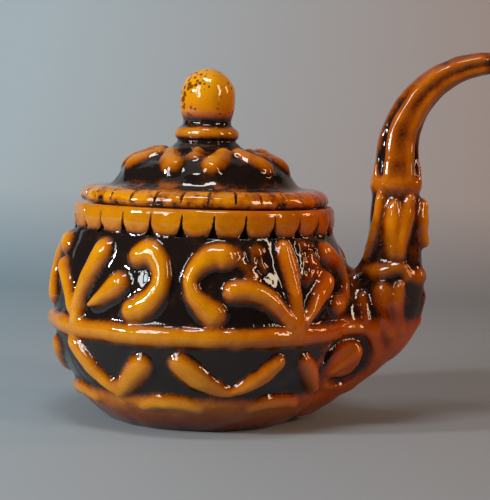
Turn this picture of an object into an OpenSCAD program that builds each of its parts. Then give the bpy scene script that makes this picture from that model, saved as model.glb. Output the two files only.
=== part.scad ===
// Glazed stoneware coffee pot with a loose lid and a swan-neck spout.
// Millimetres, +Z up, the spout points along +X. The origin is on the table, under the bowl's axis.
// The pot and the lid are each built from clay parts joined with slip; one node is one such part.

/* [Bowl] */
// Outside radius of the bowl wall at its widest
belly_r = 71; // [66:0.5:76]
// Height of the widest point
belly_z = 50; // [47:0.5:53]
// Half-height of the ellipse that the wall follows above the belly
upper_reach = 88; // [80:0.5:96]
// Half-height of the ellipse that the wall follows below the belly
lower_reach = 60; // [57:0.5:64]
// Thickness of the bowl wall and floor
wall = 5; // [4:0.5:6]
// Height of the rim that carries the lid
rim_z = 103.6; // [100:0.1:108]
// Inside radius of the mouth
mouth_r = 52; // [49:0.5:54]

/* [Foot and bands] */
// How far the standing ring is set in from the bowl's wall above it
foot_inset = 0.6; // [0.4:0.1:3]
// Width of the standing ring
foot_w = 5; // [4:0.5:8]
// Height of the standing ring
foot_h = 3; // [2:0.5:4]
// Height of the base band's upper edge
base_band_z = 17.5; // [15:0.5:20]
// Thickness of the base band
base_band_t = 3.4; // [2:0.2:4]
// Height of the middle of the girdle
girdle_z = 47.2; // [45:0.1:49]
// Half of the girdle's height
girdle_half = 4.6; // [3.6:0.2:5]
// How far the girdle stands out of the wall
girdle_out = 3.4; // [2:0.2:4]
// Height of the lobed band under the rim
rim_band_h = 10; // [8:0.5:12]
// Thickness of the lobed band
rim_band_t = 3.6; // [2.6:0.1:4]
// How far the neck is set in under the lobed band
neck_step = 2.4; // [1.6:0.1:3]
// Number of lobes round the rim and round the lid
lobes = 27; // [20:1:32]
// Width of a notch between two lobes
notch_w = 3; // [2:0.2:4]
// Depth of a notch
notch_d = 1.8; // [1:0.1:2.2]

/* [Relief] */
// How far the scrolls and leaves of the upper frieze stand out
frieze_h = 3.6; // [2:0.2:4.4]
// How far the swags of the lower frieze stand out
swag_h = 3.4; // [2:0.2:4]
// Height of the small mounds on top of the base band
mound_w = 4; // [3:0.2:5]
// How far the leaves stand out of the lid
lid_leaf_h = 2.6; // [1.6:0.2:3.4]
// How far the petals stand out of the spout
petal_h = 2.8; // [1.6:0.2:4]

/* [Spout] */
// Distance from the belly to the spout's upright axis
spout_gap = 21; // [19:0.5:24]
// Outside radius of the shank
shank_r = 15.5; // [14.5:0.1:16.5]
// Radius of the shank's bend, on its centre line
shank_bend = 30; // [28:0.5:33]
// Angle of the shank's bend
shank_turn = 45; // [42:1:48]
// Height of the heel's flat underside
heel_z = 2.5; // [1.5:0.5:4]
// How far the heel swells out of the shank
heel_out = 4.7; // [2.5:0.1:6]
// Length of the heel along the shank's leg
heel_l = 48; // [40:1:54]
// Thickness of the web between the bowl and the shank
web_t = 15; // [12:0.5:18]
// Height of the web's top edge above the lower collar's underside
web_rise = 6.5; // [4:0.5:8]
// Height of the lower collar's underside
lower_collar_z = 68; // [66:0.5:71]
// Height of the lower collar
lower_collar_h = 8.5; // [6:0.5:10]
// Outside radius of the neck at its foot
neck_foot_r = 14.2; // [13.4:0.1:15]
// Height of the upper collar's underside
upper_collar_z = 112.5; // [108:0.5:118]
// Height of the upper collar
upper_collar_h = 6.5; // [5:0.5:8]
// How far both collars stand out of the tube
collar_out = 0.9; // [0.6:0.1:2]
// Outside radius of the stem at its foot
stem_r = 11.9; // [11.6:0.1:13]
// Outside radius of the spout at its tip
tip_r = 5.2; // [4.8:0.1:6]
// Upright length of the stem above the upper collar
stem_rise = 11; // [8:0.5:16]
// Radius of the stem's quarter bend, on its centre line
stem_bend = 45; // [42:0.5:52]
// Straight length at the tip
tip_straight = 4; // [3:0.5:8]
// Radius of the pouring channel up to the stem
channel_r = 8; // [6.5:0.5:8.5]
// Radius of the channel's bend out of the bowl, on its centre line
channel_bend = 22; // [20:0.5:24]
// Radius of the pouring channel at the tip
outlet_r = 3.2; // [3:0.1:3.6]

/* [Lid] */
// Outside radius of the lid
lid_r = 60; // [58:0.1:61]
// Height of the lid's edge
lid_edge_h = 8; // [7:0.5:9]
// Radius at which the dome meets the edge
dome_r = 43; // [41:0.5:45]
// Height of the dome's foot above the edge
dome_step = 1.5; // [1:0.5:3]
// Rise that the dome would have at its middle
dome_rise = 18.5; // [17:0.5:22]
// Thickness of the dome
lid_wall = 4.5; // [3.5:0.5:5]
// Depth of the locating flange below the rim
flange_depth = 11; // [8:0.5:14]
// Thickness of the locating flange
flange_t = 4; // [3:0.5:5]
// Radial play between the flange and the mouth
flange_play = 1.2; // [0.8:0.1:2]
// Tilt of the notches round the lid
lid_notch_tilt = 25; // [0:1:35]
// Radius of the collar under the knob
knob_collar_r = 15.7; // [15:0.1:17]
// Height of the collar under the knob
knob_collar_h = 10.5; // [9:0.1:12]
// Radius of the knob's neck
knob_neck_r = 11.9; // [11:0.1:12.6]
// Height of the knob's neck
knob_neck_h = 3; // [2:0.1:5]
// Radius of the knob
knob_r = 13.2; // [12.8:0.1:14.5]
// Height of the knob above the top of its collar
knob_h = 27.8; // [25:0.1:31]

/* [Hidden] */

$fn = 96;
slip = 0.2;         // film of slip between two curved clay faces
seat_gap = 0.2;     // gap between the rim and the lid that rests on it
edge_r = 1.5;       // rounding of the rim, the lid's edge and the foot
cut_play = 0.4;     // gap round the shank where a band ends at it
over = 1;           // how far a cutting shape runs past what it cuts
half_steps = 20;    // straight steps in each half of the bowl's profile
stem_sides = 24;
stem_rings = 20;

amber = [0.86, 0.52, 0.05];
orange = [0.78, 0.36, 0.04];
umber = [0.22, 0.14, 0.10];
bisque = [0.80, 0.70, 0.56];

function arc(cx, cy, r, a0, a1, n) =
    [for (i = [0:n]) let (a = a0 + (a1 - a0) * i / n) [cx + r * cos(a), cy + r * sin(a)]];
function spread(from, to, n) = [for (i = [0:n]) from + (to - from) * i / n];
function reversed(list) = [for (i = [len(list) - 1:-1:0]) list[i]];

// ---- The bowl's wall, as radius over height ----

band_z = rim_z - rim_band_h;
function reach(z) = z > belly_z ? upper_reach : lower_reach;
function wall_r(z) = belly_r * sqrt(1 - pow((z - belly_z) / reach(z), 2));
function wall_n(z) =
    let (g = [wall_r(z) / pow(belly_r, 2), (z - belly_z) / pow(reach(z), 2)]) g / norm(g);
function inner_r(z) = (belly_r - wall) * sqrt(1 - pow((z - belly_z) / (reach(z) - wall), 2));
// A point h outside the wall, in the plane of radius and height
function off_wall(z, h) = [wall_r(z), z] + h * wall_n(z);
neck_r = wall_r(band_z) - neck_step;
foot_r = wall_r(foot_h) - foot_inset;
floor_z = foot_h + wall;
wall_heights = concat(spread(foot_h, belly_z, half_steps), spread(belly_z, band_z, half_steps));

// ---- The spout's shank: a leg out of the bowl, then a bend to the upright ----

spout_x = belly_r + spout_gap;
bend_x = spout_x - shank_bend;
leg_end = [bend_x + shank_bend * cos(shank_turn), lower_collar_z - shank_bend * sin(shank_turn)];
leg_l = 60;
neck_z = lower_collar_z + lower_collar_h;
stem_z = upper_collar_z + upper_collar_h;
function neck_tube_r(z) =
    neck_foot_r + (stem_r - neck_foot_r) * (z - neck_z) / (upper_collar_z - neck_z);

// ---- The lid's levels ----

lid_z = rim_z + seat_gap;
lid_top_z = lid_z + lid_edge_h;
dome_z = lid_top_z + dome_step;
function dome_h(r) = dome_rise * sqrt(1 - pow(r / dome_r, 2));
collar_z = dome_z + dome_h(knob_collar_r);
knob_z = collar_z + knob_collar_h;
flange_r = mouth_r - flange_play;
flange_in = flange_r - flange_t;
lid_core_r = lid_r - rim_band_t;

// ---- Skins: each gives the point at an angle, a way along and a height above it ----

bowl_skin = function (a, z, h)
    let (p = off_wall(z, h)) [p[0] * cos(a), p[0] * sin(a), p[1]];
neck_skin = function (a, z, h)
    let (r = neck_tube_r(z) + h) [spout_x + r * cos(a), r * sin(a), z];
shank_skin = function (a, s, h)
    let (r = shank_r + h, t = s / shank_bend * 180 / PI, d = shank_bend + r * cos(a))
    [bend_x + d * cos(t), r * sin(a), lower_collar_z - d * sin(t)];
lid_skin = function (a, r, h)
    let (g = [r / pow(dome_r, 2), dome_h(r) / pow(dome_rise, 2)],
         p = [r, dome_z + dome_h(r)] + h * g / norm(g))
    [p[0] * cos(a), p[0] * sin(a), p[1]];

// ---- Strokes of relief, laid on a skin ----

// A smooth curve through stroke points [angle, way along, half width]
function spline(p, t) =
    let (n = len(p) - 1, i = min(n - 1, floor(t * n)), u = t * n - i,
         a = p[max(0, i - 1)], b = p[i], c = p[i + 1], d = p[min(n, i + 2)])
    0.5 * (2 * b + (c - a) * u + (2 * a - 5 * b + 4 * c - d) * u * u
        + (3 * b - a - 3 * c + d) * u * u * u);
// Across a stroke: three points on its seat, then four over its crown
ring_u = [-1, 0, 1, 0.8, 0.3, -0.3, -0.8];
ring_h = [0, 0, 0, 0.55, 1, 1, 0.55];
function end_round(t) = sqrt(max(0.04, 1 - pow(max(0, abs(2 * t - 1) - 0.78) / 0.22, 2)));

module stroke(points, crown, skin, scale, rings = 10) {
    k = len(ring_u);
    rows = [for (i = [0:rings])
        let (t = i / rings,
             p = spline(points, t),
             q = spline(points, max(0, t - 0.02)),
             s = spline(points, min(1, t + 0.02)),
             way = [(s[0] - q[0]) * scale, s[1] - q[1]],
             side = [-way[1], way[0]] / norm(way),
             full = end_round(t),
             w = p[2] * full)
        [for (j = [0:k - 1])
            skin(p[0] + side[0] * ring_u[j] * w / scale,
                 p[1] + side[1] * ring_u[j] * w,
                 slip + ring_h[j] * crown * full)]];
    sides = [for (i = [0:rings - 1], j = [0:k - 1]) let (n = (j + 1) % k)
        each [[i * k + j, i * k + n, i * k + k + n], [i * k + j, i * k + k + n, i * k + k + j]]];
    first = [for (j = [1:k - 2]) [0, j + 1, j]];
    last = [for (j = [1:k - 2]) let (o = rings * k) [o, o + j, o + j + 1]];
    faces = concat(sides, first, last);
    polyhedron([for (row = rows) each row],
               winds_out(rows) ? faces : [for (f = faces) [f[0], f[2], f[1]]]);
}
// Whether a seat face, wound as written, turns its back to the crown
function winds_out(rows) =
    let (m = floor(len(rows) / 2), a = rows[m][0], b = rows[m][1], c = rows[m + 1][1],
         up = (rows[m][4] + rows[m][5]) / 2 - a)
    cross(b - a, c - a) * up > 0;

function mirrored(points) = [for (p = points) [-p[0], p[1], p[2]]];
// Both sides of the pot carry the same strokes, which are given for the -Y side.
module both_sides(strokes, crown, skin, scale, rings = 10) {
    for (s = strokes) {
        stroke(s, crown, skin, scale, rings);
        stroke(mirrored(s), crown, skin, scale, rings);
    }
}
wall_scale = belly_r * PI / 180;

// Points of a stroke given as [angle, share of the zone's height, half width]
frieze_lo = girdle_z + girdle_half;
frieze_hi = band_z;
function in_frieze(points) =
    [for (p = points) [p[0], frieze_lo + p[1] * (frieze_hi - frieze_lo), p[2]]];
swag_lo = base_band_z + mound_w;
swag_hi = girdle_z - girdle_half;
function in_swags(points) =
    [for (p = points) [p[0], swag_lo + p[1] * (swag_hi - swag_lo), p[2]]];

// A C-scroll: its back at angle c, its two curled ends on the side dir, the upper one curl degrees away
function scroll(c, dir, curl) = in_frieze([
    [c + (curl + 3) * dir, 0.73, 3.6],
    [c + curl * dir, 0.77, 4.8],
    [c + curl * 0.57 * dir, 0.77, 4.6],
    [c + curl * 0.16 * dir, 0.66, 4],
    [c, 0.51, 3.6],
    [c + 1.4 * dir, 0.365, 3.8],
    [c + 4.8 * dir, 0.24, 4.4],
    [c + 8.6 * dir, 0.18, 4.6],
    [c + 11.6 * dir, 0.17, 3.4]]);

// ---- Shapes shared by several parts ----

module wall_solid(grow) {
    rotate_extrude()
        polygon(concat([[0, -over]],
                       [[wall_r(foot_h) + grow, -over]],
                       [for (z = wall_heights) off_wall(z, grow)],
                       [[0, band_z]]));
}

// Puts +Z along the leg, from the bend down to the bowl, with +X on the leg's underside
module on_leg() {
    translate([leg_end[0], 0, leg_end[1]])
        rotate([0, 180 + shank_turn, 0])
            rotate([0, 0, 180])
                children();
}

// A tube's centre line in the plane of the spout: each entry is [x, z, lean from upright].
function bend_way(cx, cz, r, from, to, n) =
    [for (t = spread(from, to, n)) [cx + r * cos(t), cz - r * sin(t), t]];
// A closed tube of the given radii along such a line
module sweep(way, radii, sides) {
    n = len(way);
    points = [for (i = [0:n - 1], j = [0:sides - 1])
        let (w = way[i], r = radii[i], a = 360 * j / sides)
        [w[0] + r * cos(a) * cos(w[2]), r * sin(a), w[1] - r * cos(a) * sin(w[2])]];
    skin = [for (i = [0:n - 2], j = [0:sides - 1]) let (m = (j + 1) % sides)
        each [[i * sides + j, (i + 1) * sides + m, i * sides + m],
              [i * sides + j, (i + 1) * sides + j, (i + 1) * sides + m]]];
    foot = [[for (j = [0:sides - 1]) j]];
    tip = [[for (j = [sides - 1:-1:0]) (n - 1) * sides + j]];
    polyhedron(points, concat(skin, foot, tip));
}

shank_way = concat(
    [[leg_end[0] - leg_l * sin(shank_turn), leg_end[1] - leg_l * cos(shank_turn), shank_turn]],
    bend_way(bend_x, lower_collar_z, shank_bend, shank_turn, 0, 9));
channel_way = concat(
    [[inner_r(lower_collar_z - channel_bend) - 2 * channel_r, lower_collar_z - channel_bend, 90]],
    bend_way(spout_x - channel_bend, lower_collar_z, channel_bend, 90, 0, 12),
    [[spout_x, lower_collar_z + over, 0]]);

module shank_solid(grow) {
    sweep(shank_way, [for (w = shank_way) shank_r + grow], 36);
    translate([belly_r - leg_l / 2, -web_t / 2 - grow, leg_end[1]])
        cube([spout_x - belly_r + leg_l / 2, web_t + 2 * grow,
              lower_collar_z + web_rise + grow - leg_end[1]]);
}

// The channel: level through the bowl's wall, then round a bend to the upright
module channel() {
    sweep(channel_way, [for (w = channel_way) channel_r], 20);
}

module upright(z0, z1, r0, r1) {
    translate([spout_x, 0, z0])
        cylinder(h = z1 - z0, r1 = r0, r2 = r1);
}

// ---- The pot ----

module bowl() {
    inner_heights = spread(floor_z, belly_z, half_steps);
    upper_heights = spread(belly_z, band_z, half_steps);
    outer = concat([[0, foot_h]],
                   [for (z = wall_heights) [wall_r(z), z]],
                   [[neck_r, band_z]],
                   arc(neck_r - edge_r, rim_z - edge_r, edge_r, 0, 90, 4));
    mouth = concat(arc(mouth_r + edge_r, rim_z - edge_r, edge_r, 90, 180, 4),
                   [[mouth_r, band_z + over]]);
    hollow = concat(reversed([for (z = upper_heights) [inner_r(z), z]]),
                    reversed([for (z = inner_heights) [inner_r(z), z]]),
                    [[0, floor_z]]);
    color(umber)
        difference() {
            rotate_extrude()
                polygon(concat(outer, mouth, hollow));
            channel();
        }
}

module foot_ring() {
    color(bisque)
        rotate_extrude()
            polygon(concat([[foot_r - foot_w, foot_h], [foot_r - foot_w, 0]],
                           [[foot_r - edge_r, 0]],
                           [[foot_r, edge_r]],
                           [[foot_r, foot_h]]));
}

module base_band() {
    heights = spread(foot_h, base_band_z, 8);
    function proud(z) =
        let (u = (z - foot_h) / (base_band_z - foot_h)) slip + base_band_t * (1 - 0.4 * u);
    color(amber)
        difference() {
            rotate_extrude()
                polygon(concat([for (z = heights) off_wall(z, slip)],
                               reversed([for (z = heights) off_wall(z, proud(z))])));
            shank_solid(cut_play);
            translate([0, 0, -over])
                cylinder(h = heel_z + over, r = belly_r);
        }
}

module base_mounds() {
    z = base_band_z + cut_play + mound_w / 2;
    color(amber)
        both_sides([for (c = [-47.5, -98, -149.5])
                        [[c - 9, z, mound_w * 0.35], [c, z, mound_w / 2], [c + 9, z, mound_w * 0.35]]],
                   base_band_t * 0.7, bowl_skin, wall_scale, 6);
}

module girdle_band() {
    heights = spread(girdle_z - girdle_half, girdle_z + girdle_half, 8);
    function proud(z) =
        let (u = (z - girdle_z) / girdle_half) slip + girdle_out * (0.35 + 0.65 * sqrt(max(0, 1 - u * u)));
    color(orange)
        difference() {
            rotate_extrude()
                polygon(concat([for (z = heights) off_wall(z, slip)],
                               reversed([for (z = heights) off_wall(z, proud(z))])));
            shank_solid(cut_play);
        }
}

module rim_band() {
    outer_r = neck_r + rim_band_t;
    color(amber)
        difference() {
            rotate_extrude()
                polygon([[neck_r + slip, band_z + slip],
                         [outer_r - edge_r / 2, band_z + slip],
                         [outer_r, band_z + edge_r],
                         [outer_r, rim_z - edge_r],
                         [outer_r - edge_r, rim_z],
                         [neck_r + slip, rim_z]]);
            for (i = [0:lobes - 1])
                rotate([0, 0, (i + 0.5) * 360 / lobes])
                    translate([outer_r, 0, band_z - over])
                        rotate([0, 0, 45])
                            translate([-notch_d / sqrt(2), -notch_d / sqrt(2), 0])
                                cube([notch_w, notch_w, rim_band_h + 2 * over]);
        }
}

module scroll_sprigs() {
    color(orange)
        both_sides([scroll(-89, 1, 11.6), scroll(-99, -1, 9.2), scroll(-12, -1, 12.5), scroll(-170, 1, 11)],
                   frieze_h, bowl_skin, wall_scale, 16);
}

module fleur_sprigs() {
    color(amber)
        both_sides([
            in_frieze([[-137, 0.04, 2.6], [-135.9, 0.24, 2.9], [-133.2, 0.44, 3.5],
                       [-130.6, 0.61, 4.4], [-128.6, 0.77, 5], [-127.8, 0.88, 3.8]]),
            in_frieze([[-47.6, 0.04, 2.6], [-47.4, 0.28, 2.6], [-47.8, 0.5, 3.3],
                       [-48.7, 0.68, 3.9], [-49.4, 0.82, 3.8], [-49.8, 0.9, 3]])],
            frieze_h, bowl_skin, wall_scale);
}

module side_leaf_sprigs() {
    color(amber)
        both_sides([
            in_frieze([[-129.2, 0.16, 1.3], [-125.8, 0.23, 2.6], [-121.6, 0.32, 3.9],
                       [-117.6, 0.42, 4.4], [-114.6, 0.48, 3.2]]),
            in_frieze([[-141.6, 0.18, 1.3], [-144.4, 0.29, 2.4], [-149.5, 0.42, 3.2],
                       [-154, 0.5, 3.6], [-156.6, 0.54, 2.6]]),
            in_frieze([[-52.6, 0.12, 1.3], [-55.8, 0.23, 2.4], [-61, 0.35, 3.2],
                       [-66.6, 0.41, 4], [-72, 0.4, 4.7], [-75.4, 0.39, 3.4]]),
            in_frieze([[-42.4, 0.15, 1.3], [-37.6, 0.29, 2.6], [-32, 0.4, 3.6],
                       [-28, 0.49, 4.2], [-25.6, 0.54, 3]])],
            frieze_h, bowl_skin, wall_scale);
}

module swag_sprigs() {
    color(amber)
        both_sides([
            in_swags([[-139, 0.88, 2.6], [-134.4, 0.59, 3.4], [-130, 0.36, 3.2], [-124, 0.16, 2.6],
                      [-120.8, 0.1, 1.6]]),
            in_swags([[-103, 0.62, 3.8], [-106, 0.56, 5.2], [-109.6, 0.37, 4.4], [-114, 0.18, 3],
                      [-117.2, 0.1, 1.8]]),
            in_swags([[-93.4, 0.78, 3], [-90, 0.69, 4.2], [-85.2, 0.45, 4.7], [-79.6, 0.24, 4],
                      [-74.6, 0.12, 2]]),
            in_swags([[-52, 0.7, 2.4], [-54.6, 0.63, 3.3], [-58.2, 0.42, 3.9], [-63.6, 0.22, 3.2],
                      [-69, 0.12, 1.8]]),
            in_swags([[-42, 0.72, 2.6], [-39.5, 0.64, 3.6], [-36, 0.44, 3.4], [-31.6, 0.22, 2.6],
                      [-28.6, 0.12, 1.6]]),
            in_swags([[-19.6, 0.72, 2], [-20.6, 0.6, 3], [-23, 0.34, 2.8], [-25.6, 0.12, 1.6]]),
            in_swags([[-157.6, 0.71, 3.2], [-160.5, 0.64, 4.2], [-166, 0.43, 4], [-172.6, 0.2, 3],
                      [-177, 0.12, 1.8]])],
            swag_h, bowl_skin, wall_scale);
}

// ---- The spout ----

module spout_shank() {
    color(orange)
        difference() {
            shank_solid(0);
            wall_solid(slip);
            upright(lower_collar_z, lower_collar_z + web_rise + over,
                    shank_r + collar_out + slip, shank_r + collar_out + slip);
            translate([0, 0, lower_collar_z + slip + web_rise])
                cylinder(h = rim_z, r = belly_r);
            translate([-belly_r, -belly_r, -belly_r])
                cube([4 * belly_r, 2 * belly_r, belly_r + heel_z]);
            channel();
        }
}

module shank_heel() {
    side = 0.85 * heel_out; // how far the heel's own axis lies outside the leg's
    dip = 1;                // how far its two ends dive under the leg's skin
    function swell(u) = u < 0.22 ? sqrt(1 - pow(1 - u / 0.22, 2)) : pow(cos(100 * (u - 0.22)), 2);
    function heel_r(u) = shank_r - side - dip + (heel_out + dip) * swell(u);
    color(orange)
        difference() {
            on_leg()
                translate([side, 0, 0])
                    rotate_extrude()
                        polygon(concat([[0, 0]],
                                       [for (u = spread(0, 1, 14)) [heel_r(u), u * heel_l]],
                                       [[0, heel_l]]));
            on_leg()
                translate([0, 0, -shank_r])
                    cylinder(h = leg_l + shank_r, r = shank_r + slip);
            wall_solid(base_band_t + 2 * slip);
            translate([-belly_r, -belly_r, -belly_r])
                cube([4 * belly_r, 2 * belly_r, belly_r + heel_z]);
        }
}

module shank_petals() {
    along = shank_bend * shank_turn * PI / 180;
    function on_shank(points) = [for (p = points) [p[0], p[1] * along, p[2]]];
    scale = shank_r * PI / 180;
    color(amber) {
        both_sides([
            on_shank([[-101, 0.1, 2.6], [-100, 0.3, 4.2], [-99, 0.6, 4.3], [-97, 0.86, 3.4], [-96, 0.97, 2.2]]),
            on_shank([[-70, 0.1, 1.2], [-71, 0.35, 2], [-72, 0.65, 2.2], [-76, 0.9, 1.4]]),
            on_shank([[-133, 0.18, 1.6], [-136, 0.48, 2.6], [-138, 0.74, 1.8]])],
            petal_h, shank_skin, scale);
        stroke(on_shank([[0, 0.34, 1.6], [0, 0.62, 3.4], [0, 0.9, 2]]), petal_h, shank_skin, scale);
    }
}

module spout_lower_collar() {
    r = shank_r + collar_out;
    color(amber)
        difference() {
            translate([spout_x, 0, 0])
                rotate_extrude()
                    polygon([[0, lower_collar_z],
                             [r - edge_r, lower_collar_z],
                             [r, lower_collar_z + edge_r],
                             [r, neck_z - 2 * edge_r],
                             [neck_foot_r, neck_z],
                             [0, neck_z]]);
            upright(lower_collar_z - over, neck_z + over, channel_r, channel_r);
        }
}

module spout_neck() {
    color(umber)
        difference() {
            upright(neck_z, upper_collar_z, neck_foot_r, stem_r);
            upright(neck_z - over, upper_collar_z + over, channel_r, channel_r);
        }
}

module neck_petals() {
    length = upper_collar_z - neck_z;
    function on_neck(points) = [for (p = points) [p[0], neck_z + p[1] * length, p[2]]];
    scale = neck_foot_r * PI / 180;
    color(amber) {
        both_sides([
            on_neck([[-134, 0.86, 1.2], [-142, 0.58, 1.9], [-150, 0.3, 1.9], [-155, 0.06, 1.4]]),
            on_neck([[-53, 0.94, 2.2], [-55, 0.82, 3.8], [-59, 0.66, 4.1], [-67, 0.46, 3.8],
                     [-78, 0.23, 2.2], [-85, 0.08, 1.2]]),
            on_neck([[-99, 0.78, 1.2], [-105, 0.6, 2], [-105, 0.4, 1.7], [-101, 0.25, 1.1]])],
            petal_h, neck_skin, scale);
        stroke(on_neck([[0, 0.84, 2], [0, 0.66, 3.8], [0, 0.44, 3.6], [0, 0.2, 1.4]]),
               petal_h, neck_skin, scale);
    }
}

module spout_upper_collar() {
    color(amber)
        difference() {
            upright(upper_collar_z, stem_z, stem_r + collar_out * 0.6, stem_r + collar_out);
            upright(upper_collar_z - over, stem_z + over, channel_r, channel_r);
        }
}

// The stem's centre line: upright, a quarter bend, then level. Each entry is [x, z, turn].
bend_steps = stem_rings - 4;
stem_way = concat(
    [[spout_x, stem_z, 0], [spout_x, stem_z + stem_rise / 2, 0]],
    [for (i = [0:bend_steps]) let (t = 90 * i / bend_steps)
        [spout_x + stem_bend * (1 - cos(t)), stem_z + stem_rise + stem_bend * sin(t), t]],
    [[spout_x + stem_bend + tip_straight, stem_z + stem_rise + stem_bend, 90]]);
stem_length = stem_rise + stem_bend * PI / 2 + tip_straight;
function stem_share(i) =
    (i == 0 ? 0 : i == 1 ? stem_rise / 2
        : i < len(stem_way) - 1 ? stem_rise + stem_bend * stem_way[i][2] * PI / 180
        : stem_length) / stem_length;

function tapers(r0, r1, power) =
    [for (i = [0:len(stem_way) - 1]) r0 + (r1 - r0) * pow(stem_share(i), power)];
// The same line, running past both ends
function lengthened(way) =
    let (n = len(way))
    [for (i = [0:n - 1]) let (w = way[i], d = i == 0 ? -over : i == n - 1 ? over : 0)
        [w[0] + d * sin(w[2]), w[1] + d * cos(w[2]), w[2]]];

module spout_stem() {
    color(umber)
        difference() {
            sweep(stem_way, tapers(stem_r, tip_r, 0.9), stem_sides);
            sweep(lengthened(stem_way), tapers(channel_r, outlet_r, 0.8), 16);
        }
}

// ---- The lid ----

module lid_flange() {
    color(bisque)
        translate([0, 0, rim_z - flange_depth])
            difference() {
                cylinder(h = flange_depth + seat_gap, r = flange_r);
                translate([0, 0, -over])
                    cylinder(h = flange_depth + seat_gap + 2 * over, r = flange_in);
            }
}

module lid_dome() {
    under_r = dome_r - lid_wall;
    under_rise = dome_rise - lid_wall;
    function under_h(r) = under_rise * sqrt(1 - pow(r / under_r, 2));
    outer = concat([[flange_in, lid_z],
                    [lid_core_r, lid_z],
                    [lid_core_r, lid_top_z],
                    [dome_r, dome_z]],
                   [for (i = [1:half_steps]) let (a = acos(knob_collar_r / dome_r) * i / half_steps)
                       [dome_r * cos(a), dome_z + dome_rise * sin(a)]],
                   [[0, collar_z]]);
    inner = concat([for (i = [half_steps:-1:0]) let (a = 90 * i / half_steps)
                       [under_r * cos(a), dome_z + under_rise * sin(a)]],
                   [[flange_in, lid_z + lid_wall]]);
    color(umber)
        rotate_extrude()
            polygon(concat(outer, inner));
}

module lid_rim_band() {
    color(amber)
        difference() {
            rotate_extrude()
                polygon([[lid_core_r + slip, lid_z],
                         [lid_r - edge_r, lid_z],
                         [lid_r, lid_z + edge_r],
                         [lid_r, lid_top_z - edge_r],
                         [lid_r - edge_r, lid_top_z],
                         [lid_core_r + slip, lid_top_z]]);
            for (i = [0:lobes - 1])
                rotate([0, 0, i * 360 / lobes])
                    translate([lid_r, 0, lid_z + lid_edge_h / 2])
                        rotate([lid_notch_tilt, 0, 0])
                            rotate([0, 0, 45])
                                translate([-notch_d / sqrt(2), -notch_d / sqrt(2), -lid_edge_h])
                                    cube([notch_w, notch_w, 2 * lid_edge_h]);
        }
}

leaf_turns = 5;
leaf_start = -58;
lid_span = dome_r - knob_collar_r;
lid_scale = (knob_collar_r + lid_span / 2) * PI / 180;
drawn_dome_r = 43;  // the dome radius that the leaves' half widths are given for
function on_lid(points) =
    [for (p = points) [p[0], knob_collar_r + p[1] * lid_span, p[2] * dome_r / drawn_dome_r]];

module lid_leaf_sprigs() {
    color(amber)
        for (i = [0:leaf_turns - 1], side = [-1, 1])
            let (c = leaf_start + 360 / leaf_turns * i)
                stroke(on_lid([[c + side * 5, 0.21, 1.4], [c + side * 12, 0.43, 3.8],
                               [c + side * 19, 0.64, 4.8], [c + side * 26, 0.84, 4.2],
                               [c + side * 28.6, 0.93, 2.8]]),
                       lid_leaf_h, lid_skin, lid_scale);
}

module lid_drop_sprigs() {
    color(amber)
        for (i = [0:leaf_turns - 1])
            let (c = leaf_start + 360 / leaf_turns * (i + 0.5))
                stroke(on_lid([[c, 0.2, 1.2], [c, 0.36, 2.9], [c, 0.52, 3.4], [c, 0.66, 2.2]]),
                       lid_leaf_h * 0.8, lid_skin, lid_scale, 8);
}

module lid_collar() {
    r = knob_collar_r;
    color(amber)
        rotate_extrude()
            polygon(concat([[0, collar_z], [r - 0.2, collar_z]],
                           [[r - 0.9, collar_z + knob_collar_h * 0.36]],
                           [[r, collar_z + knob_collar_h * 0.56]],
                           [[r, knob_z - 2 * edge_r]],
                           [[r - edge_r, knob_z - edge_r / 2]],
                           [[knob_neck_r, knob_z], [0, knob_z]]));
}

module lid_knob() {
    top = knob_z + knob_h;
    color(amber)
        rotate_extrude()
            polygon(concat([[0, knob_z],
                            [knob_neck_r, knob_z],
                            [knob_neck_r, knob_z + knob_neck_h * 0.7],
                            [knob_r, knob_z + knob_neck_h * 1.5]],
                           arc(0, top - knob_r, knob_r, 0, 86, 12),
                           [[0, top]]));
}

bowl();
foot_ring();
base_band();
base_mounds();
girdle_band();
rim_band();
scroll_sprigs();
fleur_sprigs();
side_leaf_sprigs();
swag_sprigs();
spout_shank();
shank_heel();
shank_petals();
spout_lower_collar();
spout_neck();
neck_petals();
spout_upper_collar();
spout_stem();
lid_flange();
lid_dome();
lid_rim_band();
lid_leaf_sprigs();
lid_drop_sprigs();
lid_collar();
lid_knob();
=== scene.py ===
import math
import random

import bpy
import numpy as np
from mathutils import Matrix, Vector
from mathutils.bvhtree import BVHTree


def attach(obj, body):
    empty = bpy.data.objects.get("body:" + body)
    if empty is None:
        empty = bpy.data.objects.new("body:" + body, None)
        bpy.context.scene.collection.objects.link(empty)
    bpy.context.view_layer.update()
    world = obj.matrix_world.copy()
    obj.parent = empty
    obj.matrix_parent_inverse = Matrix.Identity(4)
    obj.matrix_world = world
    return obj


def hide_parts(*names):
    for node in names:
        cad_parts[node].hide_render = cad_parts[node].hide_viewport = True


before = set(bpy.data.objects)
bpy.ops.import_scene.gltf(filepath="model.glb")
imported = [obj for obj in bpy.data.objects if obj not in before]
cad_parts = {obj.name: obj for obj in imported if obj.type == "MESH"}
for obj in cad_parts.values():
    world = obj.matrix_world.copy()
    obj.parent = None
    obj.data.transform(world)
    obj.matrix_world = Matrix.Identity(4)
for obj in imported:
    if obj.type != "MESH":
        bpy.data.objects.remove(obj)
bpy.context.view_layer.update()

MM = 0.001
VOXEL = 0.74      # grain of the clay, in mm
SMOOTHING = 16      # passes that smooth a finished skin


# ---------------------------------------------------------------- the pot's shape, in mm

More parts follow.
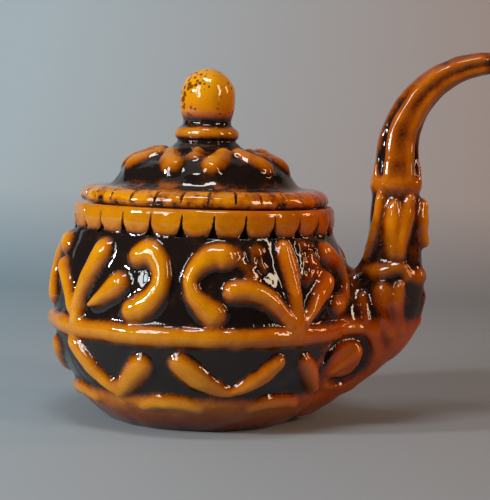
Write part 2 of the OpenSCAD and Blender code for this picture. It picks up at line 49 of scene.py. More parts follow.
BELLY_R, BELLY_Z = 71.0, 50.0            # the bowl at its widest
UPPER, LOWER = 88.0, 60.0                # half heights of the curves above and below the belly
WALL = 5.0
RIM_Z, MOUTH_R = 103.6, 52.0
BAND_Z = RIM_Z - 10.0                    # the foot of the band under the rim
LOBES = 27                               # round the rim band
GIRDLE_Z, GIRDLE_HALF, GIRDLE_CROWN = 47.2, 4.8, 3.4
SPOUT_X = 92.0
BEND_R, BEND_Z = 30.0, 68.0              # the bend of the shank, and the height where it ends
SHANK_R = 15.5
NECK_Z, NECK_RUN, NECK_FOOT_R, NECK_TOP_R = 76.5, 30, 14.2, 11.9
STEM_Z, STEM_RISE, STEM_BEND = 119.0, 11.0, 45.0
STEM_ARC = STEM_BEND * math.pi / 2
STEM_FOOT_R, STEM_TAPER = 11.7, 6.9
STEM_STEPS = (6, 11, 18, 26, 34, 42, 50, 58, 66, 74)      # points of a roll along the stem
CHANNEL_R = 8                            # of the pouring channel, up to the stem
LID_Z = RIM_Z + 0.2
DOME_Z, DOME_R, DOME_RISE = 113.3, 43.0, 18.5
DOME_STEPS = (42.4, 41, 39, 36, 32, 28, 24, 20)           # radii of a profile up the dome
KNOB_R, KNOB_Z = 13.2, 155.6

# how far each kind of relief stands proud of the wall
FRIEZE = 4.1
SWAG = 3.9
FULLER = 1.42     # rolls are this much fuller, so that their feet run out under the dark of the glaze


def polar(angle, r, z):
    a = math.radians(angle)
    return Vector((r * math.cos(a), r * math.sin(a), z))


def wall_r(z):
    """Outer radius of the bowl."""
    reach = UPPER if z > BELLY_Z else LOWER
    return BELLY_R * math.sqrt(1 - ((z - BELLY_Z) / reach) ** 2)


def inner_r(z):
    """Inner radius of the bowl."""
    reach = (UPPER if z > BELLY_Z else LOWER) - WALL
    return (BELLY_R - WALL) * math.sqrt(1 - ((z - BELLY_Z) / reach) ** 2)


def wall_normal(z):
    reach = UPPER if z > BELLY_Z else LOWER
    n = Vector((wall_r(z) / BELLY_R ** 2, (z - BELLY_Z) / reach ** 2))
    return n.normalized()


def on_bowl(angle, z, lift):
    n = wall_normal(z)
    return polar(angle, wall_r(z) + lift * n.x, z + lift * n.y)


def dome_rise(r):
    return DOME_RISE * math.sqrt(max(0.01, 1 - (r / DOME_R) ** 2))


def on_lid(angle, r, lift):
    n = Vector((r / DOME_R ** 2, dome_rise(r) / DOME_RISE ** 2)).normalized()
    return polar(angle, r + lift * n.x, DOME_Z + dome_rise(r) + lift * n.y)


def on_bend(angle, radius=BEND_R):
    """A place on the middle line of the bend, so many degrees down from its upper end."""
    a = math.radians(angle)
    return Vector((SPOUT_X - radius + radius * math.cos(a), 0, BEND_Z - radius * math.sin(a)))


def on_shank(angle, along, lift):
    """along runs in mm down the bend from the lower collar."""
    t = along / BEND_R
    r = SHANK_R + lift
    a = math.radians(angle)
    d = BEND_R + r * math.cos(a)
    return Vector((SPOUT_X - BEND_R + d * math.cos(t), r * math.sin(a), BEND_Z - d * math.sin(t)))


def on_neck(angle, z, lift):
    r = NECK_FOOT_R + (NECK_TOP_R - NECK_FOOT_R) * min(1.0, (z - NECK_Z) / NECK_RUN) + lift
    a = math.radians(angle)
    return Vector((SPOUT_X + r * math.cos(a), r * math.sin(a), z))


def stem_place(along):
    """Centre, lean and radius of the stem, along mm above the upper collar."""
    if along < STEM_RISE:
        x, z, t = SPOUT_X, STEM_Z + along, 0.0
    elif along < STEM_RISE + STEM_ARC:
        t = (along - STEM_RISE) / STEM_BEND
        x = SPOUT_X + STEM_BEND * (1 - math.cos(t))
        z = STEM_Z + STEM_RISE + STEM_BEND * math.sin(t)
    else:
        t = math.pi / 2
        x = SPOUT_X + STEM_BEND + along - STEM_RISE - STEM_ARC
        z = STEM_Z + STEM_RISE + STEM_BEND
    share = max(0.0, along) / (STEM_RISE + STEM_ARC + 4)
    return Vector((x, 0, z)), t, STEM_FOOT_R - STEM_TAPER * share ** 0.85


def on_stem(angle, along, lift):
    centre, t, radius = stem_place(along)
    a = math.radians(angle)
    r = radius + lift
    return centre + Vector((r * math.cos(a) * math.cos(t), r * math.sin(a), -r * math.cos(a) * math.sin(t)))


# ---------------------------------------------------------------- working the clay


def only(piece):
    """Selects one piece and nothing else."""
    bpy.ops.object.select_all(action="DESELECT")
    piece.select_set(True)
    bpy.context.view_layer.objects.active = piece


def put(name, data):
    thing = bpy.data.objects.new(name, data)
    bpy.context.collection.objects.link(thing)
    return thing


def discard(*spares):
    for spare in spares:
        bpy.data.objects.remove(spare)


def finish_modifier(piece, kind, **settings):
    only(piece)
    modifier = piece.modifiers.new(kind.title(), kind)
    for key, value in settings.items():
        setattr(modifier, key, value)
    bpy.ops.object.modifier_apply(modifier=modifier.name)


def new_mesh(name, points, edges, faces=()):
    mesh = bpy.data.meshes.new(name)
    mesh.from_pydata([tuple(c * MM for c in p) for p in points], edges, faces)
    return put(name, mesh)


def welded(piece, gap):
    """Merges points closer than the gap, in mm, and turns every face outwards."""
    only(piece)
    bpy.ops.object.mode_set(mode="EDIT")
    bpy.ops.mesh.select_all(action="SELECT")
    bpy.ops.mesh.remove_doubles(threshold=gap * MM)
    bpy.ops.mesh.normals_make_consistent(inside=False)
    bpy.ops.object.mode_set(mode="OBJECT")


def thrown(name, profile):
    """A closed profile of radius and height, spun once round the pot's axis."""
    edges = [(i, i + 1) for i in range(len(profile) - 1)]
    piece = new_mesh(name, [(r, 0, z) for r, z in profile], edges)
    only(piece)
    bpy.ops.object.mode_set(mode="EDIT")
    bpy.ops.mesh.select_all(action="SELECT")
    bpy.ops.mesh.spin(steps=144, angle=2 * math.pi, center=(0, 0, 0), axis=(0, 0, 1))
    bpy.ops.object.mode_set(mode="OBJECT")
    welded(piece, 0.02)
    return piece


def smooth_way(points, steps=6):
    """A smooth run of (place, radius) through the points."""
    way = []
    last = len(points) - 1
    for i in range(last):
        a, b, c, d = points[max(0, i - 1)], points[i], points[i + 1], points[min(last, i + 2)]
        for k in range(steps if i < last - 1 else steps + 1):
            u = k / steps
            way.append(0.5 * (2 * b + (c - a) * u + (2 * a - 5 * b + 4 * c - d) * u * u
                              + (3 * b - a - 3 * c + d) * u * u * u))
    return way


def round_end(tip, next_in):
    """The points that close a roll as a half ball, from its tip outwards."""
    out_dir = (tip.xyz - next_in.xyz).normalized()
    points = []
    for degrees in (25, 50, 70, 84):
        k = math.radians(degrees)
        points.append(Vector((*(tip.xyz + out_dir * tip.w * math.sin(k)), tip.w * math.cos(k))))
    return points


def coil(name, rolls, sides=4, round_ends=True):
    """Rolled coils of clay: each roll is a list of (x, y, z, radius), in mm."""
    curve = bpy.data.curves.new(name, "CURVE")
    curve.dimensions = "3D"
    curve.bevel_depth = MM
    curve.bevel_resolution = sides
    curve.use_fill_caps = True
    for roll in rolls:
        way = smooth_way([Vector(p) for p in roll])
        if round_ends:
            way = round_end(way[0], way[1])[::-1] + way + round_end(way[-1], way[-2])
        spline = curve.splines.new("POLY")
        spline.points.add(len(way) - 1)
        for point, place in zip(spline.points, way):
            point.co = (place.x * MM, place.y * MM, place.z * MM, 1)
            point.radius = place.w
    only(put(name, curve))
    bpy.ops.object.convert(target="MESH")
    piece = bpy.context.view_layer.objects.active
    welded(piece, 0.001)
    return piece


def laid(skin, points, crown):
    """A roll laid on a skin: points are (angle, way along, half width), standing crown mm proud."""
    roll = []
    for angle, along, half in points:
        half *= FULLER
        roll.append((*skin(angle, along, crown - half), half))
    return roll


def pressed(ground, points, crown):
    """A roll pressed on any surface: points are (x, y, z, half width), standing crown mm proud."""
    tree = BVHTree.FromObject(ground, bpy.context.evaluated_depsgraph_get())
    roll = []
    for x, y, z, half in points:
        near, normal, _, _ = tree.find_nearest(Vector((x, y, z)) * MM)
        roll.append((*(near / MM + normal * (crown - half)), half))
    return roll


def both_sides(strokes):
    """The strokes of the near side, and after them the same ones mirrored for the far side."""
    return strokes + [[(-a, s, w) for a, s, w in stroke] for stroke in strokes]


def on_side(side, points):
    """Points (x, y, z, half width) of one side of the spout: -1 is the near one."""
    return [(x, side * y, z, half) for x, y, z, half in points]


def joined(name, parts):
    bpy.ops.object.select_all(action="DESELECT")
    for part in parts:
        part.select_set(True)
    bpy.context.view_layer.objects.active = parts[0]
    bpy.ops.object.join()
    piece = bpy.context.view_layer.objects.active
    piece.name = name
    return piece


def copy_of(piece, name):
    twin = piece.copy()
    twin.data = piece.data.copy()
    twin.name = name
    bpy.context.collection.objects.link(twin)
    return twin


def sponged(piece, times):
    finish_modifier(piece, "SMOOTH", factor=0.5, iterations=times)


def luted(piece, dents=0.9, smoothing=SMOOTHING):
    """The parts run together into one skin, as under glaze, with the slight dents of handwork."""
    finish_modifier(piece, "REMESH", mode="VOXEL", voxel_size=VOXEL * MM, adaptivity=0.0)
    if dents:
        clouds = bpy.data.textures.new("clouds", "CLOUDS")
        clouds.noise_scale = 9 * MM
        clouds.noise_depth = 1
        finish_modifier(piece, "DISPLACE", texture=clouds, texture_coords="LOCAL",
                        strength=dents * MM, mid_level=0.5)
    sponged(piece, smoothing)


def note_relief(piece, ground):
    """Stores on each point how far it stands out of the plain ground, in mm."""
    tree = BVHTree.FromObject(ground, bpy.context.evaluated_depsgraph_get())
    mesh = piece.data
    places = np.empty(len(mesh.vertices) * 3)
    mesh.vertices.foreach_get("co", places)
    heights = np.empty(len(mesh.vertices), dtype=np.float32)
    for i, place in enumerate(places.reshape(-1, 3)):
        place = Vector(place)
        near, normal, _, distance = tree.find_nearest(place)
        heights[i] = distance / MM * (1 if (place - near).dot(normal) >= 0 else -1)
        if place.z < BAND_Z * MM and math.hypot(place.x, place.y) < (inner_r(place.z / MM) + 1) * MM:
            heights[i] = -1      # the glaze is dark all over inside the bowl
    store = mesh.attributes.new("relief", "FLOAT", "POINT")
    store.data.foreach_set("value", heights)


def cut_away(piece, cutter, operation="DIFFERENCE"):
    finish_modifier(piece, "BOOLEAN", operation=operation, object=cutter, solver="MANIFOLD")


def slab(name, half, low, high):
    """A square slab to cut with, centred on the pot's axis."""
    plan = ((-half, -half), (half, -half), (half, half), (-half, half))
    corners = [(x, y, z) for z in (low, high) for x, y in plan]
    faces = [(3, 2, 1, 0), (4, 5, 6, 7), (0, 1, 5, 4), (1, 2, 6, 5), (2, 3, 7, 6), (3, 0, 4, 7)]
    return new_mesh(name, corners, [], faces)


def polished(piece, angle=40):
    """Smooth shading, except over edges sharper than the angle."""
    only(piece)
    bpy.ops.object.shade_smooth_by_angle(angle=math.radians(angle))


def sliced(piece, name, z):
    """Cuts off, as a piece of its own, what stands above a level; both keep the shading of the whole."""
    whole = copy_of(piece, "whole")
    polished(whole)
    off = copy_of(piece, name)
    above = slab("above", 250, z, 400)
    cut_away(piece, above)
    cut_away(off, above, "INTERSECT")
    for part in (piece, off):
        finish_modifier(part, "DATA_TRANSFER", object=whole, use_loop_data=True,
                        data_types_loops={"CUSTOM_NORMAL"}, loop_mapping="POLYINTERP_NEAREST")
    discard(above, whole)
    return off


def knife_cuts(name, cuts):
    """Narrow wedges to cut with: each cut is (angle, rows of (inner r, inner z, outer r, outer z,
    half width, slant))."""
    points, faces = [], []
    for angle, rows in cuts:
        first = len(points)
        for r_in, z_in, r_out, z_out, half, slant in rows:
            a = math.radians(angle + slant)
            across = Vector((-math.sin(a), math.cos(a), 0)) * half
            for r, z in ((r_in, z_in), (r_out, z_out)):
                middle = polar(angle + slant, r, z)
                points += [middle - across, middle + across]
        for o in range(first, len(points) - 4, 4):
            n = o + 4
            faces += [(o, o + 1, n + 1, n), (o + 1, o + 3, n + 3, n + 1),
                      (o + 3, o + 2, n + 2, n + 3), (o + 2, o, n, n + 2)]
        last = len(points) - 4
        faces += [(first, first + 2, first + 3, first + 1), (last, last + 1, last + 3, last + 2)]
    piece = new_mesh(name, points, [], faces)
    welded(piece, 0.001)
    return piece


# ---------------------------------------------------------------- relief of the pot, on the -Y side
# Each stroke runs through points of (angle, height or way along, half width).


def frieze_strokes():
    scrolls = [
        # the pair back to back in the middle
        [(-109.2, 82.6, 4.6), (-106.0, 84.2, 4.8), (-101.8, 81.4, 4.1), (-99.6, 75.4, 3.3),
         (-100.0, 68.6, 3.4), (-102.8, 62.8, 4.5), (-107.2, 59.0, 5.2), (-109.6, 57.8, 4.6)],
        [(-76.2, 83.4, 5.6), (-80.2, 83.2, 5.2), (-85.6, 79.0, 3.5), (-88.6, 72.4, 2.3),
         (-87.0, 66.2, 2.7), (-83.4, 61.2, 4.3), (-79.8, 57.8, 5.2)],
        # beside the spout
        [(-25.4, 84.0, 4.6), (-20.6, 82.0, 4.4), (-15.4, 78.0, 2.6), (-12.5, 71.5, 1.9),
         (-13.0, 64.5, 2.4), (-18.0, 60.0, 4.0), (-22.4, 59.0, 4.0)],
        # at the back
        [(-158.7, 83.4, 4.4), (-164.5, 84.8, 4.0), (-169.0, 79.0, 3.4), (-170.2, 71.0, 3.2),
         (-168.2, 63.4, 3.6), (-163.5, 59.0, 4.4)]]
    blades = [
        [(-127.6, 83.4, 5.2), (-130.2, 77.2, 4.6), (-133.2, 70.2, 3.6), (-135.7, 62.0, 2.9),
         (-137.0, 50.0, 3.4)],
        [(-50.2, 86.6, 3.2), (-49.4, 81.0, 3.9), (-48.2, 73.8, 3.5), (-47.4, 64.5, 2.5),
         (-47.2, 50.0, 3.2)]]
    leaves = [
        [(-116.8, 69.4, 4.7), (-120.0, 66.2, 4.4), (-124.4, 61.9, 2.6), (-128.4, 58.6, 0.9)],
        [(-154.5, 73.6, 3.6), (-149.5, 69.6, 3.2), (-144.0, 63.5, 2.4), (-139.8, 55.0, 1.8)],
        [(-72.6, 68.2, 3.9), (-67.8, 68.4, 4.0), (-61.4, 66.4, 3.4), (-55.8, 61.6, 2.8), (-49.6, 53.0, 2.2)],
        [(-28.4, 70.6, 4.4), (-31.4, 67.6, 4.4), (-36.4, 62.6, 3.4), (-43.4, 54.0, 1.9)]]
    return scrolls + blades + leaves


def swag_strokes():
    return [
        # left of the middle
        [(-139.4, 39.6, 3.4), (-136.0, 35.2, 4.2), (-131.0, 29.2, 4.0), (-125.0, 24.0, 3.2),
         (-119.0, 20.0, 3.0)],
        [(-106.6, 33.0, 5.4), (-109.6, 29.6, 5.0), (-114.2, 24.4, 3.8), (-119.4, 19.6, 2.6)],
        # the middle
        [(-91.2, 35.0, 4.8), (-87.0, 30.8, 4.8), (-81.4, 26.4, 4.1), (-75.6, 23.4, 3.0), (-71.6, 22.6, 1.9)],
        [(-53.8, 35.6, 3.0), (-57.8, 31.0, 3.9), (-62.6, 27.0, 3.4), (-67.0, 24.4, 2.4), (-70.0, 23.4, 1.6)],
        # by the spout
        [(-40.2, 34.6, 3.6), (-36.4, 30.6, 4.0), (-31.5, 26.0, 3.6), (-26.5, 21.6, 2.8)],
        # the back
        [(-160.5, 35.5, 4.4), (-166.0, 30.8, 4.2), (-173.0, 25.6, 3.4), (-180.0, 22.4, 2.6)]]


def base_strokes():
    """The low mounds round the base, and the foot of the first pair of swags that runs into it."""
    mound = ((-13, 14.4, 2.6), (-6, 16.6, 3.4), (5, 16.4, 3.4), (12, 14.6, 2.6))
    mounds = [[(c + turn, z, half) for turn, z, half in mound] for c in (-47.5, -96.0, -149.5)]
    foot = [(-119.5, 22.5, 3.0), (-119.5, 18.5, 4.6), (-119.5, 14.5, 4.8)]
    return mounds, [foot]


def crinkles(angle, z, wide, high, count, seed):
    """Small crumpled ridges of glaze in a patch of wall."""
    dice = random.Random(seed)
    crown = 1.15
    rolls = []
    for _ in range(count):
        a, h = angle + dice.uniform(-wide, wide), z + dice.uniform(-high, high)
        turn, half = dice.uniform(0, math.pi), dice.uniform(0.8, 1.2)
        reach = dice.uniform(1.0, 2.2)
        da, dh = reach * math.cos(turn) * 0.85, reach * math.sin(turn)
        ridge = [(a - da, h - dh, half), (a, h + 0.4, half), (a + da, h + dh, half)]
        rolls.append(laid(on_bowl, ridge, crown))
    return rolls


def lobe_edges():
    """The rounded lower edges of the rim's lobes."""
    first, radius, half = -73.6, 61.2, 1.9
    edge = ((-5.0, 98.0), (-4.2, 95.4), (-2.0, 93.8), (0, 93.4), (2.0, 93.8), (4.2, 95.4), (5.0, 98.0))
    return [[(*polar(first + i * 360 / LOBES + turn, radius, z), half) for turn, z in edge]
            for i in range(LOBES)]


def rim_slits():
    """The slits that part the rim band into lobes, widest at its lower edge."""
    first = -80.3
    rows = [(60.6, 91.0, 67, 91.0, 2.9, 0), (60.4, 93.0, 67, 93.0, 1.7, 0), (60.3, 95.2, 67, 95.2, 0.9, 0.1),
            (60.4, 98.2, 67, 98.2, 0.55, 0.3), (61.5, 101.4, 67, 101.4, 0.25, 0.5)]
    return knife_cuts("slits", [(first + i * 360 / LOBES, rows) for i in range(LOBES)])


def pot_relief():
    mounds, feet = base_strokes()
    rolls = []
    for strokes, crown in ((frieze_strokes(), FRIEZE), (swag_strokes(), SWAG), (mounds, 4.1), (feet, 3.2)):
        rolls += [laid(on_bowl, stroke, crown) for stroke in both_sides(strokes)]
    rolls += lobe_edges()
    for side in (-1, 1):
        rolls += crinkles(side * 66.0, 79.5, 5.5, 7.0, 24, seed=3)
        rolls += crinkles(side * 36.0, 80.0, 6.5, 8.0, 30, seed=8)
        rolls += crinkles(side * 31.0, 37.0, 3.0, 4.0, 8, seed=5)
    return rolls


# ---------------------------------------------------------------- relief of the spout


def shank_relief():
    """The big petal, the strand beside it, and the two lobes of the heel."""
    petals = [
        [(-107, 3.4, 5.2), (-104, 7.4, 5.8), (-95, 12.6, 5.2), (-79, 16.8, 4.0), (-61, 19.6, 2.8)],
        [(-77, -0.4, 1.8), (-76, 7.6, 2.0), (-66, 12.4, 2.3), (-49, 16.6, 2.2)]]
    heel = [([(0, 4, 3.0), (0, 9, 4.4), (0, 16, 5.0)], 1.7),
            ([(0, 12, 3.6), (0, 18, 5.6), (0, 25, 6.0), (0, 33, 4.6)], 2.9)]
    return ([laid(on_shank, petal, 2.5) for petal in both_sides(petals)]
            + [laid(on_shank, lobe, crown) for lobe, crown in heel])


def neck_relief():
    """The leaves on the neck, and the lobes of the lower collar."""
    # a thin leaf, then one of two lobes that turn round each other
    leaves = [
        [(-128, 110.4, 1.3), (-132, 101, 1.7), (-140, 91, 1.8), (-153, 81, 1.8)],
        [(-92, 106.2, 2.2), (-93.5, 100, 3.0), (-95, 91, 2.6), (-93, 83.2, 1.6)],
        [(-54, 109.0, 2.0), (-59, 104.4, 3.5), (-63, 99.4, 3.4), (-69, 94, 2.6), (-75, 88.5, 1.7),
         (-77, 82.2, 1.2)]]
    front_leaf = [(0, 106, 3.0), (0, 101, 4.4), (0, 95, 4.4), (0, 89, 2.4)]
    lobes = [[(-152, 74.6, 2.8), (-132, 74.2, 3.6), (-110, 74.8, 3.4), (-90, 76.2, 2.6), (-72, 76.8, 2.0)],
             [(-62, 73.0, 2.8), (-44, 71.8, 4.4), (-26, 71.8, 4.6), (-10, 72.4, 3.8)]]
    back_lobe = [(165, 75, 3.0), (180, 75, 3.8), (195, 75, 3.0)]
    rolls = [laid(on_neck, leaf, 2.4) for leaf in both_sides(leaves)]
    rolls.append(laid(on_neck, front_leaf, 4.2))
    return rolls + [laid(on_neck, lobe, 2.3) for lobe in both_sides(lobes) + [back_lobe]]


def stem_relief():
    """The stem's four ridges, and the scalloped cuff that they stand on."""
    ridge = ((1, 2.0), (10, 2.2), (25, 2.3), (45, 2.1), (62, 1.7), (76, 1.2))
    scallop = ((-21, 6, 1.3), (-17, -2.0, 1.7), (0, -4.8, 2.0), (17, -2.0, 1.7), (21, 6, 1.3))
    saddle = ((-24, -2.8, 1.6), (0, -2.0, 1.9), (24, -2.8, 1.6))
    strokes = [[(angle, along, half) for along, half in ridge] for angle in (-111, -53, 53, 111)]
    for outline, centres in ((scallop, (-133, -36, 36, 133)), (saddle, (-84, 84, 0, 180))):
        strokes += [[(c + turn, along, half) for turn, along, half in outline] for c in centres]
    return [laid(on_stem, stroke, 1.2) for stroke in strokes]


def root_relief(root):
    """On each side of the root: the girdle's end, which fades there, and a drop above it."""
    girdle_end = [(55, 42, 48.2, 3.6), (63.5, 31.7, 48.6, 3.6), (70.3, 22, 48.4, 3.4),
                  (76.5, 17.4, 47.6, 3.0)]
    drop = [(78.2, 10.6, 62.5, 2.2), (78.4, 13, 58.0, 3.2), (79.8, 15.6, 51.8, 2.8)]
    return [pressed(root, on_side(side, points), 1.6) for side in (-1, 1) for points in (girdle_end, drop)]


def spout_relief(root):
    """Sprigs and collars of the spout; root is the clay that flares into the bowl."""
    return shank_relief() + neck_relief() + stem_relief() + root_relief(root)


def root_hollows(root):
    """On each side of the spout's foot: a ring-shaped hollow, and a dip above it."""
    ring = [(60.8, 30.0, 34.5), (63.4, 28.4, 38.0), (67.8, 23.6, 41.8), (73.8, 18.6, 43.9),
            (79.2, 17.0, 42.0), (81.4, 15.6, 36.5), (79.0, 13.6, 29.6), (74.6, 13.0, 24.6),
            (69.4, 15.6, 21.8), (64.6, 19.4, 22.2)]
    ring_half = 2.8
    dip = [(87.4, 15.6, 48.0, 2.4), (89.6, 14.4, 43.0, 3.2), (90.6, 12.6, 37.6, 2.6)]
    rolls = []
    for side in (-1, 1):
        rolls.append(pressed(root, on_side(side, [(*place, ring_half) for place in ring]), 2.8))
        rolls.append(pressed(root, on_side(side, dip), 4.4))
    return rolls


def beans(root):
    """The bean that lies in each ring-shaped hollow."""
    bean = [(63.6, 24.4, 27.2, 2.4), (67.6, 21.2, 30.2, 3.2), (72.6, 18.4, 33.8, 4.0),
            (75.6, 17.4, 36.4, 4.2)]
    return [pressed(root, on_side(side, bean), 1.6) for side in (-1, 1)]


def stem_flutes():
    """Grooves between the stem's ridges, cut by rolls whose centres lie just outside the skin."""
    runs = ((133, ((2.5, 2.3), (7, 2.9), (14, 2.6), (24, 2.1), (34, 1.5), (42, 0.9))),
            (35, ((2.5, 2.3), (7, 2.9), (14, 2.5), (26, 2.0), (44, 1.6), (62, 1.1))),
            (82, ((34, 0.8), (46, 1.4), (60, 1.6), (74, 1.5), (82, 1.3))))
    return [[(*on_stem(side * angle, along, half * 0.15), half) for along, half in run]
            for angle, run in runs for side in (-1, 1)]


# ---------------------------------------------------------------- the pot


def pot_profile():
    """Radius and height round the cut clay: from under the foot up the outside to the rim."""
    foot = [(0, 2.6), (38.5, 2.6), (39.0, 0.3), (39.8, 0.0), (43.4, 0.0), (45.0, 0.7)]
    base = [(50.6, 4.6), (55.2, 8.6), (58.4, 12.0), (60.4, 14.6)]
    base += [(wall_r(z) + proud, z) for z, proud in ((16.6, 2.0), (18.4, 0.9))]
    lower_wall = [(wall_r(z), z) for z in (20, 24, 28, 32, 36, 41.4)]
    girdle = []
    for z in (42.4, 42.9, 43.8, 45.2, 46.4, 48.0, 49.4, 50.6, 51.5, 52.0):
        swell = math.sqrt(max(0, 1 - ((z - GIRDLE_Z) / GIRDLE_HALF) ** 2))
        girdle.append((wall_r(z) + GIRDLE_CROWN * swell, z))
    upper_wall = [(wall_r(z), z) for z in (52.6, 55, 60, 65, 70, 75, 80, 84, 88, 91.5)]
    band = [(60.3, 93.8), (61.4, 94.2), (62.8, 95.4), (63.2, 97.0), (63.1, 98.4), (62.8, 100.0),
            (62.9, 101.2), (62.7, 102.4), (62.0, 103.3), (60.8, RIM_Z + 0.6), (0, RIM_Z + 0.6)]
    return foot + base + lower_wall + girdle + upper_wall + band


def cavity_profile():
    floor = [(0, 8.0), (30.0, 8.1), (40.0, 9.4), (46.5, 12.5)]
    inside = [(min(inner_r(z), 61.0), z)
              for z in (17, 21, 26, 32, 38, 44, 50, 54, 60, 66, 72, 78, 84, 88, 91)]
    mouth = [(MOUTH_R, 93.0), (MOUTH_R, 101.7), (52.4, 102.8), (53.4, 103.5), (54.5, 103.9), (54.5, 110.0),
             (0, 110.0)]
    return floor + inside + mouth


def spout_outside():
    """The bend, the neck and the stem, as one tapering roll."""
    bend = [(*on_bend(angle), r) for angle, r in
            ((55, 9.0), (46, 12.0), (38, 14.6), (28, 15.5), (17, 15.6), (6, 15.3))]
    neck = [(SPOUT_X, 0, z, r) for z, r in
            ((68.5, 15.1), (71, 15.1), (74, 14.8), (76.5, 14.3), (82, 13.6), (90, 12.7), (100, 12.0),
             (109, 11.6), (112.0, 11.5), (113.6, 12.4), (116.5, 12.8), (119, 12.2))]
    stem = []
    for along in (2, *STEM_STEPS, 81.7, 85.4):
        centre, _, radius = stem_place(along)
        stem.append((*centre, radius))
    return coil("spout", [bend + neck + stem], sides=10, round_ends=False)


def pouring_channel():
    """The way of the coffee, from inside the bowl to the tip."""
    mouth_z = 46
    way = [(x, 0, mouth_z, CHANNEL_R) for x in (52, 60, 68)]
    way += [(*on_bend(angle, BEND_Z - mouth_z), CHANNEL_R) for angle in (75, 60, 45, 30, 15, 0)]
    way += [(SPOUT_X, 0, z, CHANNEL_R) for z in (80, 100, 119)]
    for along in (*STEM_STEPS, 81.7, 88):
        centre, _, _ = stem_place(along)
        way.append((*centre, max(2.9, CHANNEL_R - 5.1 * (along / 85.7) ** 0.8)))
    return coil("channel", [way], sides=8, round_ends=False)


def root_line():
    """Centre line and radii of the spout's lower half, from inside the bowl up the neck."""
    elbow = BEND_R * 0.7071              # half way round the bend
    line = [Vector((SPOUT_X - BEND_R + elbow - d, 0, BEND_Z - elbow - d * 0.96)) for d in (36, 26, 18, 9)]
    line += [on_bend(angle) for angle in (45, 30, 15, 0)]
    line += [Vector((SPOUT_X, 0, z)) for z in (76, 84, 92)]
    return list(zip(line, (9.5, 13.0, 15.9, 17.6, 17.5, 16.6, 15.7, 15.3, 14.0, 13.0, 12.4)))


def root_distance(place, line, shrink):
    """Signed distance from the skin that blends the bowl into the spout, near enough."""
    # below the girdle the skin shrinks fully, above it by a tenth
    girdle_top, fade = 54.5, 7.0
    shrink *= 0.1 + 0.9 * min(1.0, max(0.0, (girdle_top - place.z) / fade))
    reach = UPPER if place.z > BELLY_Z else LOWER
    axes = (BELLY_R - shrink, BELLY_R - shrink, reach - shrink)
    q = Vector((place.x / axes[0], place.y / axes[1], (place.z - BELLY_Z) / axes[2]))
    k = max(q.length, 1e-6)
    slope = Vector((q.x / axes[0], q.y / axes[1], q.z / axes[2])).length
    bowl = k * (k - 1) / max(slope, 1e-6)
    spout = math.inf
    for (a, ra), (b, rb) in zip(line, line[1:]):
        along = max(0.0, min(1.0, (place - a).dot(b - a) / (b - a).length_squared))
        spout = min(spout, (place - a.lerp(b, along)).length - (ra + (rb - ra) * along) + shrink)
    fillet = 19.0
    h = max(0.0, fillet - abs(bowl - spout)) / fillet
    under_foot = 2.6 - place.z
    return max(min(bowl, spout) - h * h * fillet / 4, under_foot)


def spout_root(name, shrink=0.0):
    """The flared root: a ball pushed out along its own rays as far as the blended skin."""
    line = root_line()
    centre = Vector((72, 0, 46))
    bpy.ops.object.select_all(action="DESELECT")
    bpy.ops.mesh.primitive_uv_sphere_add(segments=96, ring_count=64, radius=1, location=(0, 0, 0))
    ball = bpy.context.view_layer.objects.active
    ball.name = name
    for vertex in ball.data.vertices:
        way = vertex.co.normalized()
        near, far = 2.0, 50.0
        if root_distance(centre + way * far, line, shrink) > 0:
            for _ in range(18):      # halvings of the span
                middle = (near + far) / 2
                if root_distance(centre + way * middle, line, shrink) > 0:
                    far = middle
                else:
                    near = middle
        vertex.co = (centre + way * far) * MM
    return ball


def pot_without_relief():
    """The plain ground that the height of the relief is measured from."""
    heights = (3, 6, 10, 15, 20, 26, 32, 38, 44, 50, 56, 62, 68, 74, 80, 86, 91)
    profile = [(0, 2.6)] + [(wall_r(z), z) for z in heights]
    wall = thrown("ground", profile + [(60.4, 92.4), (60.0, 95), (59.6, 102), (0, 102)])
    root = spout_root("ground_root", 2.6)
    way = [(SPOUT_X, 0, z, r) for z, r in
           ((74, 13.9), (82, 13.1), (90, 12.2), (100, 11.4), (112, 10.8), (116, 10.4), (119, 10.1))]
    for along in (2, *STEM_STEPS, 85):
        centre, _, radius = stem_place(along)
        way.append((*centre, radius - 1.3))
    neck = coil("ground_neck", [way], sides=10, round_ends=False)
    return joined("ground", [wall, root, neck])


def make_pot():
    """The pot in one skin, and the plain ground under its relief."""
    wall = thrown("pot_wall", pot_profile())
    cavity = thrown("cavity", cavity_profile())
    outside = spout_outside()
    channel = pouring_channel()
    root = spout_root("root")
    ground = pot_without_relief()
    hollows = coil("hollows", root_hollows(root) + stem_flutes())
    relief = coil("relief", pot_relief() + spout_relief(root))
    bean = coil("bean", beans(root))

    # hollows are pressed in before the sprigs go on
    body = joined("body", [wall, outside, root])
    luted(body, dents=0, smoothing=2)
    cut_away(body, hollows)
    pot = joined("pot", [body, relief, bean])
    luted(pot)
    slits = rim_slits()
    over_rim = slab("over_rim", 80, RIM_Z, RIM_Z + 8)
    for cutter in (slits, cavity, channel, over_rim):
        cut_away(pot, cutter)
    sponged(pot, 1)
    under_foot = slab("under_foot", 90, -8, 0)
    cut_away(pot, under_foot)
    discard(cavity, channel, over_rim, slits, hollows, under_foot)
    return pot, ground


# ---------------------------------------------------------------- the lid


